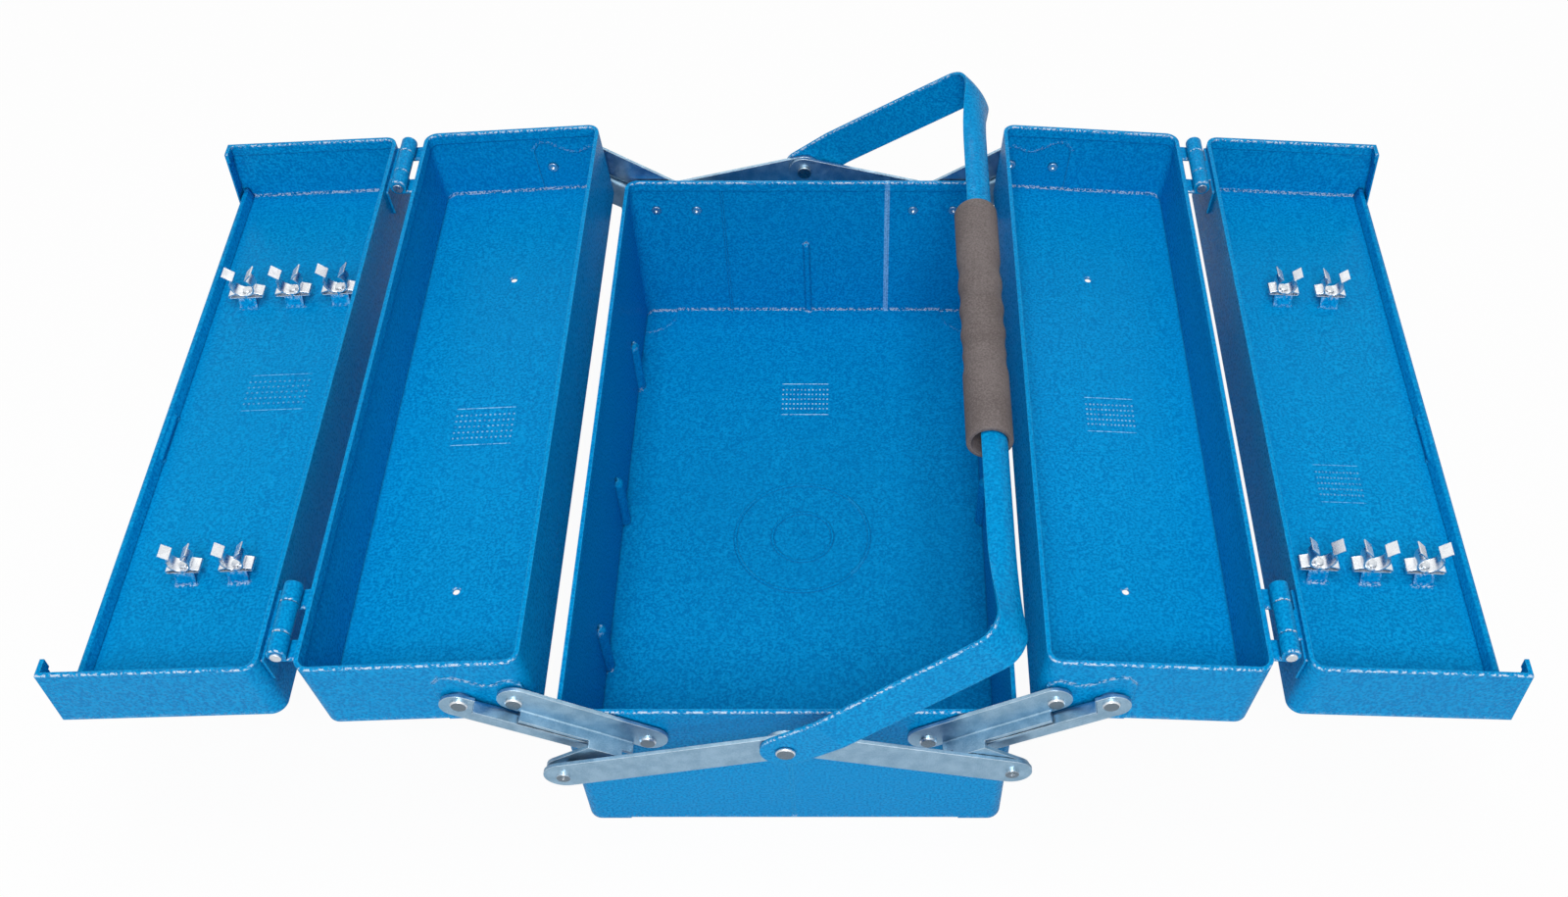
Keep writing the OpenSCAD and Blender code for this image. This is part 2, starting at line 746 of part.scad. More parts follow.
module lid(side) {
    open_l = lid_l - 2 * return_w;
    edge_x = panel_w - edge_w - edge_run;
    places = [for (end = [front, back], x = clip_places(row_count(side, end))) [x, row_y(end)]];
    color(paint) on_side(side) in_lid() difference() {
        union() {
            difference() {
                lid_block(0, 0, lid_h);
                lid_block(sheet, sheet, lid_h - hem_h + 0.01);
                lid_block(hem_t, lid_h - hem_h, lid_h + over);
                translate([edge_x, -open_l / 2, sheet]) cube([2 * corner_r, open_l, lid_h]);
                translate([lid_w - hem_t - over, -open_l / 2, lid_h - hem_h - over])
                    cube([2 * corner_r, open_l, hem_h + 2 * over]);
            }
            along(0, open_l + 0.02)
                polygon([[edge_x, sheet - 0.01], [edge_x + edge_run, hem_t],
                    [panel_w - edge_draft, hem_t], [panel_w - edge_draft / 2, sheet - 0.01]]);
            edge_pad(edge_x);
            for (p = places)
                translate([p[0] - tab_w / 2, p[1], 0]) rotate([90, 0, 90])
                    linear_extrude(tab_w) tab_section();
        }
        for (p = places)
            translate([p[0], p[1], clip_z - sheet - over])
                cylinder(r = clip_rivet_r + pin_play, h = sheet + 2 * over);
    }
}

// Pad with round ends pressed up from the panel into the slope of the free edge.
module edge_pad(x) {
    reach = edge_run * pad_share;
    translate([x - 1, pad_y, sheet - 0.01]) linear_extrude(hem_t - sheet - 0.1) {
        translate([0, -pad_l / 2 + reach]) square([1 + reach, pad_l - 2 * reach]);
        for (y = [-1, 1]) translate([1, y * (pad_l / 2 - reach)]) circle(reach);
    }
}

// ---- Clips ----

// Section of a clip in [x, z]. Its strip is folded back at both ends, and the folded ends lean on
// the ring of the jaws, whose lips flare outward.
module clip_section() {
    outer_r = jaw_r + clip_t;
    ring_z = clip_t + jaw_r + jaw_lift;
    fold_x = clip_w / 2 - fold_r;
    square_from([-fold_x, 0], [fold_x, clip_t]);
    square_from([-clip_t, clip_t / 2], [clip_t, jaw_lift + 1.5 * clip_t]);
    translate([0, ring_z]) difference() {
        circle(outer_r);
        circle(jaw_r);
        polygon([[0, 0], turned([2 * outer_r, 0], 90 - mouth), turned([2 * outer_r, 0], 90 + mouth)]);
    }
    for (m = [0, 1]) mirror([m, 0]) {
        translate([0, ring_z] + turned([jaw_r, 0], 90 - mouth)) rotate(flare) square([lip, clip_t]);
        translate([fold_x, fold_r]) difference() {
            circle(fold_r);
            circle(fold_r - clip_t);
            translate([-2 * fold_r, -fold_r]) square([2 * fold_r, 2 * fold_r]);
        }
        translate([fold_x, 2 * fold_r - clip_t]) rotate(180 - fold_rise) mirror([0, 1])
            square([fold_x - jaw_r * 0.8, clip_t]);
    }
}

module square_from(a, b) {
    translate(a) square(b - a);
}

// Clips in a row of two are smaller than those in a row of three.
function clip_size(side, end) = row_count(side, end) == 3 ? 1 : small_clip;

module clip(size) {
    difference() {
        translate([0, 0, clip_z]) along(0, clip_l) scale(size) clip_section();
        cylinder(r = clip_rivet_r + pin_play, h = clip_z + jaw_z);
    }
}

module clips(side, end) {
    color(zinc) on_side(side) in_lid() for (x = clip_places(row_count(side, end)))
        translate([x, row_y(end), 0]) clip(clip_size(side, end));
}

module clip_rivets(side, end) {
    head_z = clip_z + clip_size(side, end) * jaw_z;
    color(zinc) on_side(side) in_lid() for (x = clip_places(row_count(side, end)))
        translate([x, row_y(end), 0]) {
            translate([0, 0, clip_z - sheet]) cylinder(r = clip_rivet_r, h = head_z - clip_z + sheet);
            for (z = [head_z, clip_z - sheet - clip_head_t])
                translate([0, 0, z]) cylinder(r = clip_head_r, h = clip_head_t);
        }
}

// ---- Handle ----

// The strip's centre line in the handle's plane, for the front half: flat at the pin, leaning
// inward, round the bend and along the crossbar. Each station is [x, y, heading, curl].
leg_mid_y = leg_y + strip_t / 2;
lean_angle = atan(leg_slope);
bend_turn = 90 - lean_angle;
bend_from_x = handle_reach - handle_bend + handle_bend * sin(lean_angle);
bend_from_y = -leg_mid_y + leg_slope * (bend_from_x - leg_flat);
bend_at = [handle_reach - handle_bend, bend_from_y + handle_bend * cos(lean_angle)];
leg_lap = 12;
leg_cut_x = bend_from_x - leg_lap;
curl_run = 50;
bend_steps = 10;
run_steps = 8;

function leg_centre(x) = [x, -leg_mid_y + leg_slope * max(0, x - leg_flat)];

// Smooth step from 0 to 1
function eased(t) = t * t * (3 - 2 * t);

arc_len = handle_bend * bend_turn * PI / 180;
curl_len = arc_len + curl_run;
half_stations = concat(
    [concat(leg_centre(leg_cut_x - 1), [lean_angle, 0])],
    [concat(leg_centre(bend_from_x), [lean_angle, 0])],
    [for (i = [1:bend_steps])
        let (a = lean_angle + bend_turn * i / bend_steps,
             p = bend_at + handle_bend * [sin(a), -cos(a)])
        [p[0], p[1], a, eased(arc_len * i / bend_steps / curl_len)]],
    [for (i = [1:run_steps])
        [handle_reach, bend_at[1] + curl_run * i / run_steps, 90,
            eased((arc_len + curl_run * i / run_steps) / curl_len)]]);
stations = concat(half_stations,
    [for (i = [len(half_stations) - 1:-1:0])
        let (s = half_stations[i]) [s[0], -s[1], 180 - s[2], s[3]]]);

// Ring of points round the curled strip's section at a station. The strip's convex side faces
// away from the pins.
curl_parts = 10;
thin = 0.1;
least_curl = 1;
function strip_ring(s) =
    let (a = max(least_curl, curl * s[3]),
         r = (strip_w - thin) * 180 / (PI * a),
         outward = [sin(s[2]), -cos(s[2])],
         half_t = (strip_t - thin) / 2)
    concat(
        [for (j = [-curl_parts:curl_parts])
            let (b = a * j / (2 * curl_parts), n = (r + half_t) * cos(b) - r)
            [s[0] + outward[0] * n, s[1] + outward[1] * n, (r + half_t) * sin(b)]],
        [for (j = [curl_parts:-1:-curl_parts])
            let (b = a * j / (2 * curl_parts), n = (r - half_t) * cos(b) - r)
            [s[0] + outward[0] * n, s[1] + outward[1] * n, (r - half_t) * sin(b)]]);

module curled_crossbar() {
    ring = 4 * curl_parts + 2;
    count = len(stations);
    polyhedron(
        points = [for (s = stations) each strip_ring(s)],
        faces = concat(
            [for (k = [0:count - 2], i = [0:ring - 1])
                let (a = k * ring + i, b = k * ring + (i + 1) % ring, c = b + ring)
                [a, b, c]],
            [for (k = [0:count - 2], i = [0:ring - 1])
                let (a = k * ring + i, b = k * ring + (i + 1) % ring, c = b + ring)
                [a, c, a + ring]],
            [for (j = [0:ring / 2 - 2]) [ring - 1 - j, ring - 2 - j, j + 1]],
            [for (j = [0:ring / 2 - 2]) [ring - 1 - j, j + 1, j]],
            [for (j = [0:ring / 2 - 2])
                let (o = (count - 1) * ring) [o + ring - 2 - j, o + ring - 1 - j, o + j + 1]],
            [for (j = [0:ring / 2 - 2])
                let (o = (count - 1) * ring) [o + j + 1, o + ring - 1 - j, o + j]]));
}

// Flat leg with a round end and the bore for its pin.
module leg() {
    half = strip_t / 2;
    a = leg_centre(leg_flat);
    b = leg_centre(leg_cut_x);
    difference() {
        intersection() {
            translate([0, 0, -strip_w / 2]) linear_extrude(strip_w)
                polygon([[-strip_w, a[1] - half], [-strip_w, a[1] + half],
                    [a[0], a[1] + half], [b[0], b[1] + half], [b[0], b[1] - half], [a[0], a[1] - half]]);
            rotate([90, 0, 0]) linear_extrude(leg_mid_y + strip_w) {
                circle(strip_w / 2);
                translate([0, -strip_w / 2]) square([handle_reach, strip_w]);
            }
        }
        rotate([90, 0, 0]) translate([0, 0, leg_y - over]) cylinder(r = pin_bore_r, h = strip_t + 2 * over);
    }
}

module handle() {
    color(paint) in_handle() {
        leg();
        mirror([0, 1, 0]) leg();
        curled_crossbar();
    }
}

// Foam sleeve over the crossbar with shallow finger grooves.
sleeve_play = 0.15;
groove_places = [-33, -20, -1, 18, 39];
groove_half = 8.5;

// Depth of the finger grooves at a place along the grip: a raised cosine round each groove.
function groove(y) = groove_d * max([for (place = groove_places)
    let (d = min(abs(y - place), groove_half)) (1 + cos(180 * d / groove_half)) / 2]);

module handle_grip() {
    curl_r = (strip_w - thin) * 180 / (PI * curl);
    sleeve_bore = curl_r + strip_t / 2 + sleeve_play;
    end_round = 1.5;
    steps = 60;
    color(foam) in_handle() translate([handle_reach - curl_r, grip_y, 0]) rotate([-90, 0, 0])
        translate([0, 0, -grip_l / 2]) rotate_extrude()
            polygon(concat(
                [[sleeve_bore, 0], [grip_r - end_round, 0]],
                [for (i = [1:steps - 1]) [grip_r - groove(grip_l * (i / steps - 1 / 2)), grip_l * i / steps]],
                [[grip_r - end_round, grip_l], [sleeve_bore, grip_l]]));
}

// ---- Sub-parts ----

base_box();
base_rivets();
base_washers();
inner_arm(left, front);  // inner_arm_left_front
inner_arm(left, back);  // inner_arm_left_back
inner_arm(right, front);  // inner_arm_right_front
inner_arm(right, back);  // inner_arm_right_back
outer_arm(left, front);  // outer_arm_left_front
outer_arm(left, back);  // outer_arm_left_back
outer_arm(right, front);  // outer_arm_right_front
outer_arm(right, back);  // outer_arm_right_back
crank_rivets(left);  // crank_rivets_left
crank_rivets(right);  // crank_rivets_right
crank_spacers();
tray(left);  // tray_left
tray(right);  // tray_right
tray_rivets(left);  // tray_rivets_left
tray_rivets(right);  // tray_rivets_right
tray_washers(left);  // tray_washers_left
tray_washers(right);  // tray_washers_right
hinge_tray_leaves(left);  // hinge_tray_leaves_left
hinge_tray_leaves(right);  // hinge_tray_leaves_right
hinge_pins(left);  // hinge_pins_left
hinge_pins(right);  // hinge_pins_right
lid(left);  // lid_left
lid(right);  // lid_right
hinge_lid_leaves(left);  // hinge_lid_leaves_left
hinge_lid_leaves(right);  // hinge_lid_leaves_right
clips(left, front);  // clips_left_front
clips(left, back);  // clips_left_back
clips(right, front);  // clips_right_front
clips(right, back);  // clips_right_back
clip_rivets(left, front);  // clip_rivets_left_front
clip_rivets(left, back);  // clip_rivets_left_back
clip_rivets(right, front);  // clip_rivets_right_front
clip_rivets(right, back);  // clip_rivets_right_back
tie_bar(left, front);  // tie_bar_left_front
tie_bar(left, back);  // tie_bar_left_back
tie_bar(right, front);  // tie_bar_right_front
tie_bar(right, back);  // tie_bar_right_back
tie_rivets(left);  // tie_rivets_left
tie_rivets(right);  // tie_rivets_right
centre_pins();
handle();
handle_grip();
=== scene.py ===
"""Finishes, foam grip, lid edges and pressed marks of a cantilever tool box, over its CAD frame.

Metres, in the CAD's own frame: X is the width, Y the length (front is -Y), Z is up.
"""
import json
import math

import bpy
import numpy as np
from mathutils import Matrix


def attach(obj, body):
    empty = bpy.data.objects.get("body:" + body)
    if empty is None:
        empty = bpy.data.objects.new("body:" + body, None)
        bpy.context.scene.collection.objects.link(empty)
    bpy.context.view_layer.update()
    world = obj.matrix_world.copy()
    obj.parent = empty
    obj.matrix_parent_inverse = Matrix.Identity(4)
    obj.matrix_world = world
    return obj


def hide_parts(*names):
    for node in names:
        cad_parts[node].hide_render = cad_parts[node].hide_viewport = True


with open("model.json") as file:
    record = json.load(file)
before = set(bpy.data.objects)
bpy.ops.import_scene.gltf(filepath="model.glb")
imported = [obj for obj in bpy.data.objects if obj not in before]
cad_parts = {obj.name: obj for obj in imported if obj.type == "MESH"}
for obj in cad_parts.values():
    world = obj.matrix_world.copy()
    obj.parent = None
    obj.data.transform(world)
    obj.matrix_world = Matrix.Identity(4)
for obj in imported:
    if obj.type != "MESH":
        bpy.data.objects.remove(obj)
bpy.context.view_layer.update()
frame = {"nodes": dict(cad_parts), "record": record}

MM = 0.001

# ---- Places that the CAD gives ----

SHEET = 1 * MM
# Outside of the base's end walls along Y, and the right-hand crease in the back one
END_WALL = 210 * MM
CREASE_X = 57 * MM
LID_LENGTH = 415 * MM

# Panels of sheet that carry pieces, as (foot x, foot z, droop, side). The foot is that of the
# inner or hinged wall, and the side is 1 on the right and -1 on the left.
BASE_FLOOR = (0.0, 1.2 * MM, 0.0, 1)
TRAY_RIGHT = (128.818 * MM, 117.467 * MM, math.radians(3.8), 1)
TRAY_LEFT = TRAY_RIGHT[:3] + (-1,)
LID_RIGHT = (263.785 * MM, 116.219 * MM, math.radians(3.2), 1)
LID_LEFT = LID_RIGHT[:3] + (-1,)

# Handle: its pins, its lean, and how far from them the middle of the curled crossbar is
HANDLE_PIN_Z = 116.6 * MM
HANDLE_LEAN = math.radians(35)
CROSSBAR_REACH = 131.34 * MM


def on_panel(points, panel):
    """Points whose x runs outward from a panel's foot, and whose z rises from its inner face."""
    foot_x, foot_z, droop, side = panel
    x, y, z = points[..., 0], points[..., 1], points[..., 2] + SHEET
    across = foot_x + x * math.cos(droop) + z * math.sin(droop)
    up = foot_z - x * math.sin(droop) + z * math.cos(droop)
    return np.stack([side * across, y, up], -1)


# ---- Surfaces ----

def grid_faces(rows, columns, ring=False):
    """Quads of a grid whose rows close on themselves, and whose last row may meet its first."""
    row = np.arange(rows if ring else rows - 1)[:, None]
    column = np.arange(columns)[None, :]
    here = row * columns
    there = (row + 1) % rows * columns
    after = (column + 1) % columns
    quads = np.stack([here + column, here + after, there + after, there + column], -1)
    return quads.reshape(-1, 4)


def tube_faces(rows, columns):
    """Faces of a tube of closed rows: its quads, and one flat face at either end."""
    first = np.arange(columns)[None, ::-1]
    last = np.arange(columns)[None, :] + columns * (rows - 1)
    return [grid_faces(rows, columns), first, last]


def turned(groups):
    """The same groups of faces, with their outsides in."""
    return [faces[:, ::-1] for faces in groups]


def piece(name, points, groups, material, body):
    """Makes a smooth mesh object from points and groups of faces, and lets it ride on a body."""
    faces = [face for group in groups for face in group.tolist()]
    mesh = bpy.data.meshes.new(name)
    mesh.from_pydata(points.reshape(-1, 3), [], faces)
    mesh.update()
    mesh.polygons.foreach_set("use_smooth", np.ones(len(mesh.polygons), bool))
    mesh.materials.append(material)
    made = bpy.data.objects.new(name, mesh)
    bpy.context.scene.collection.objects.link(made)
    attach(made, body)
    return made


def grip_sleeve(material):
    """Foam sleeve round the crossbar.

    The radius at a place along the sleeve and an angle u round it is the sleeve's radius, less
    the end's round, less five finger grooves, each a parabola, less the narrow slit along the
    underside, a Gaussian in u. The profile turns in at both ends and closes through the bore.
    """
    length = 180 * MM
    middle_y = 4 * MM
    outer = 12.7 * MM
    bore = 9.85 * MM
    lip = 1.2 * MM
    mouth = 0.5 * MM
    # A row of points down the bore, which keeps the shading of its mouths crisp
    bore_row = 14 * MM
    around = 144
    groove_places = np.array([-33, -20, -1, 18, 39]) * MM
    half_groove = 8.5 * MM
    groove_depth = 0.95 * MM
    slit_angle = math.radians(-62)
    slit_width = math.radians(1.3)
    slit_depth = 2.6 * MM
    # Share of a turn's points that crowd towards the slit, so that it stays narrow
    crowding = 0.86

    places = np.linspace(lip, length - lip, 190)[1:-1]
    near = np.abs((places - length / 2)[:, None] - groove_places[None, :]) / half_groove
    grooves = (1 - np.clip(near, 0, 1) ** 2).max(1) * groove_depth
    # Profile as (place along, radius), from the front bore's mouth, out, back and in again
    corner = np.linspace(0, math.pi / 2, 9)
    rounding = outer - lip + lip * np.cos(corner)
    front = np.stack([lip - lip * np.sin(corner), rounding], -1)[::-1]
    middle = np.stack([places, outer - grooves], -1)
    back = np.stack([length - lip + lip * np.sin(corner), rounding], -1)
    front_mouth = [[bore_row, bore], [mouth, bore], [0, bore + mouth]]
    back_mouth = [[length, bore + mouth], [length - mouth, bore], [length - bore_row, bore]]
    profile = np.concatenate([front_mouth, front, middle, back, back_mouth])
    along, radius = profile[:, 0], profile[:, 1]

    u = np.linspace(0, 2 * math.pi, around, endpoint=False)
    u = u - crowding * np.sin(u - slit_angle)
    away = (u - slit_angle + math.pi) % (2 * math.pi) - math.pi
    slit = slit_depth * np.exp(-(away / slit_width) ** 2)
    share = np.clip((radius - bore) / (outer - bore), 0, 1)
    r = radius[:, None] - slit[None, :] * share[:, None]
    axis_x = CROSSBAR_REACH * math.cos(HANDLE_LEAN)
    axis_z = HANDLE_PIN_Z + CROSSBAR_REACH * math.sin(HANDLE_LEAN)
    y = np.broadcast_to((along - length / 2 + middle_y)[:, None], r.shape)
    points = np.stack([axis_x + r * np.cos(u), y, axis_z + r * np.sin(u)], -1)
    groups = turned([grid_faces(len(profile), around, ring=True)])
    made = piece("grip_sleeve", points, groups, material, "handle")
    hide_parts("handle_grip")


def lid_edge(name, panel, material, body):
    """Low wall turned up along a lid's free edge, with a round hem.

    Its section runs up the outer face, over half an ellipse and down the inner face, which leans
    out towards the hem. It is carried straight along the lid. A long bead stands out of the
    inner face: its height is a raised cosine down the face, times a smooth box along the lid.
    """
    outer = 116.8 * MM
    foot = 112.4 * MM
    top = 7.0 * MM
    hem_half = 1.5 * MM
    hem_rise = 0.6 * MM
    bead_from = -32.5 * MM
    bead_to = 4.5 * MM
    bead_fade = 2.4 * MM
    bead_height = 1.3 * MM
    # The bead's band down the inner face, as shares of the face
    band_top = 0.12
    band_share = 0.76

    turn = np.linspace(0, math.pi, 13)
    hem = np.stack([outer - hem_half + hem_half * np.cos(turn),
                    top - hem_rise + hem_rise * np.sin(turn)], -1)
    down = np.linspace(0, 1, 19)[1:]
    inner = hem[-1] + down[:, None] * (np.array([foot, 0]) - hem[-1])
    section = np.concatenate([[[outer, 0]], hem, inner])

    half = LID_LENGTH / 2 - SHEET
    margin = 2 * MM
    y = np.unique(np.concatenate([np.linspace(-half, half, 60),
                                  np.linspace(bead_from - margin, bead_to + margin, 80)]))
    inside = np.clip(np.minimum(y - bead_from, bead_to - y) / bead_fade, 0, 1)
    along = inside * inside * (3 - 2 * inside)
    in_band = np.clip((down - band_top) / band_share, 0, 1)
    bead = np.zeros(len(section))
    bead[-len(down):] = 0.5 - 0.5 * np.cos(2 * math.pi * in_band)
    x = section[None, :, 0] - bead_height * along[:, None] * bead[None, :]
    z = np.broadcast_to(section[None, :, 1], x.shape)
    points = np.stack([x, np.broadcast_to(y[:, None], x.shape), z], -1)
    groups = tube_faces(len(y), len(section))
    side = panel[-1]
    if side > 0:
        groups = turned(groups)
    piece(name, on_panel(points, panel), groups, material, body)


def front_face(material):
    """Plain outside of the front wall's middle, where the rib inside leaves a slot in the sheet.

    How far it stands out is a little, less a square of the place across it, and less the same
    for the last stretch at its top and foot, so that it sinks into the wall all round.
    """
    half_width = 1.1 * MM
    foot = 2.7 * MM
    top = 67.3 * MM
    proud = 0.05 * MM
    sink = 0.1 * MM
    depth = 0.4 * MM
    x = np.linspace(-half_width, half_width, 13)
    z = np.concatenate([np.linspace(foot, foot + half_width, 7),
                        np.linspace(top - half_width, top, 7)])
    end = np.clip(1 - np.minimum(z - foot, top - z) / half_width, 0, 1)
    out = proud - sink * (x[None, :] / half_width) ** 2 - sink * end[:, None] ** 2
    front = np.stack([np.broadcast_to(x, out.shape), -END_WALL - out,
                      np.broadcast_to(z[:, None], out.shape)], -1)
    back = front[:, [-1, 0]].copy()
    back[..., 1] = depth - END_WALL
    points = np.concatenate([front, back], 1)
    groups = tube_faces(*points.shape[:2])
    piece("base_front_face", points, groups, material, "base")


# How deep the pressed marks' outlines are sunk into their sheet
SUNK = 0.08 * MM


def dots(places, radius, height):
    """Round pimples: each rises as height times the cosine of a quarter turn of its radius.

    The outer ring is sunk into the sheet and closed there by a flat face.
    """
    spokes = 8
    rings = np.array([1.0, 0.62])
    angle = np.arange(spokes) * 2 * math.pi / spokes
    ring = np.stack([np.cos(angle), np.sin(angle)], -1)
    flat = (rings[:, None, None] * ring[None] * radius).reshape(-1, 2)
    rise = np.repeat([-SUNK, height * math.cos(rings[1] * math.pi / 2)], spokes)
    one = np.concatenate([np.column_stack([flat, rise]), [[0, 0, height]]])
    points = one[None] + np.column_stack([places, np.zeros(len(places))])[:, None, :]
    spoke = np.arange(spokes)
    middle = np.full(spokes, len(one) - 1)
    tops = np.stack([spokes + spoke, spokes + (spoke + 1) % spokes, middle], -1)
    foot = spoke[None, ::-1]
    starts = np.arange(len(places))[:, None, None] * len(one)
    groups = [(faces[None] + starts).reshape(-1, faces.shape[1])
              for faces in (grid_faces(2, spokes), tops, foot)]
    return points.reshape(-1, 3), groups


def bead(x0, x1, y, half, height):
    """Straight bead: its section is a raised cosine, and it fades out at both ends.

    Its outline is sunk into the sheet and closed there by a flat face.
    """
    fade_rate = 14
    t = np.linspace(0, 1, 25)[:, None]
    s = np.linspace(-1, 1, 7)[None, :]
    fade = np.clip(np.minimum(t, 1 - t) * fade_rate, 0, 1)
    z = (height + SUNK) * fade * (0.5 + 0.5 * np.cos(math.pi * s)) - SUNK
    x = np.broadcast_to(x0 + (x1 - x0) * t, z.shape)
    points = np.stack([x, np.broadcast_to(y + half * s, z.shape), z], -1).reshape(-1, 3)
    grid = np.arange(z.size).reshape(z.shape)
    quads = np.stack([grid[:-1, :-1], grid[1:, :-1], grid[1:, 1:], grid[:-1, 1:]], -1)
    outline = np.concatenate([grid[0, :-1], grid[:-1, -1], grid[-1, :0:-1], grid[:0:-1, 0]])
    return points, [quads.reshape(-1, 4), outline[None]]


def pressed_marks(name, panel, x0, x1, y0, y1, material, body):
    """Panel of raised dots between two beads, pressed into the sheet to stiffen it."""
    dot_r, dot_h = 0.8 * MM, 0.5 * MM
    bead_half, bead_h = 0.4 * MM, 0.3 * MM
    inset_x, inset_y = 1.5 * MM, 5.5 * MM
    x, y = np.meshgrid(np.linspace(x0 + inset_x, x1 - inset_x, 13),
                       np.linspace(y0 + inset_y, y1 - inset_y, 5))
    points, groups = dots(np.stack([x.ravel(), y.ravel()], -1), dot_r, dot_h)
    for bead_y in (y0, y1):
        more, faces = bead(x0, x1, bead_y, bead_half, bead_h)
        groups += [group + len(points) for group in faces]
        points = np.concatenate([points, more])
    side = panel[-1]
    if side < 0:
        groups = turned(groups)
    piece(name, on_panel(points, panel), groups, material, body)


# ---- Materials ----

# Blue enamel: between and on its pimples, in clouds and specks; painted highlights along edges,
# painted shade in crevices, and painted highlights on pressed pimples, a crease and rim folds
ENAMEL_LOW = (0.000, 0.188, 0.475, 1)
ENAMEL_HIGH = (0.001, 0.298, 0.640, 1)
ENAMEL_CLOUD = (0.000, 0.235, 0.550, 1)
ENAMEL_SPECK = (0.020, 0.400, 0.780, 1)
ENAMEL_EDGE_HIGHLIGHT = (0.050, 0.450, 0.820, 1)
ENAMEL_PAINTED_SHADE = (0.000, 0.085, 0.260, 1)
ENAMEL_DOT_HIGHLIGHT = (0.560, 0.830, 0.960, 1)
ENAMEL_CREASE_HIGHLIGHT = (0.300, 0.600, 0.900, 1)
ENAMEL_GLINT = (0.940, 0.980, 1.000, 1)
ENAMEL_SHEEN = (0.20, 0.78, 1.0, 1)

# Zinc: painted highlights along its edges, and a painted dark reflection on the faces of
# the rivets outside the end walls
ZINC_EDGE_HIGHLIGHT = (0.93, 0.95, 0.97, 1)
RIVET_DARK_REFLECTION = (0.12, 0.17, 0.21, 1)

FOAM_DARK = (0.108, 0.090, 0.088, 1)
FOAM_PALE = (0.185, 0.160, 0.158, 1)
FOAM_EDGE_HIGHLIGHT = (0.420, 0.370, 0.350, 1)
WHITE = (1, 1, 1, 1)
FLOOR_GREY = (0.74, 0.74, 0.74, 1)


class Wire:
    """A socket of a material's node tree. Operators add Math nodes, and node() adds any other."""

    def __init__(self, tree, socket=None):
        self.tree = tree
        self.socket = socket

    def node(self, kind, settings=None, sockets=None, out=0):
        """Adds a node: first its settings, then values or wires for its sockets."""
        made = self.tree.nodes.new(kind)
        for name, value in (settings or {}).items():
            setattr(made, name, value)
        for name, value in (sockets or {}).items():
            if isinstance(value, Wire):
                self.tree.links.new(value.socket, made.inputs[name])
            else:
                made.inputs[name].default_value = value
        return Wire(self.tree, made.outputs[out] if made.outputs else None)

    def maths(self, operation, *values):
        return self.node("ShaderNodeMath", {"operation": operation}, dict(enumerate(values)))

    def size(self):
        """This wire without its sign."""
        return self.maths("ABSOLUTE", self)

    def part(self, axis):
        """One part of a vector: 0 for x, 1 for y and 2 for z."""
        return self.node("ShaderNodeSeparateXYZ", {}, {"Vector": self}, out=axis)

    def between(self, low, high):
        """0 below low, 1 above high, and a smooth step between them."""
        return self.node("ShaderNodeMapRange", {"interpolation_type": "SMOOTHSTEP"},
                         {"Value": self, "From Min": low, "From Max": high})

    def mix(self, first, second):
        """The first colour where this wire is 0, and the second where it is 1."""
        return self.node("ShaderNodeMix", {"data_type": "RGBA", "clamp_factor": True},
                         {0: self, 6: first, 7: second}, out=2)

    def __add__(self, other):
        return self.maths("ADD", self, other)

    def __sub__(self, other):
        return self.maths("SUBTRACT", self, other)

    def __rsub__(self, other):
        return self.maths("SUBTRACT", other, self)

    def __mul__(self, other):
        return self.maths("MULTIPLY", self, other)

    __radd__ = __add__
    __rmul__ = __mul__


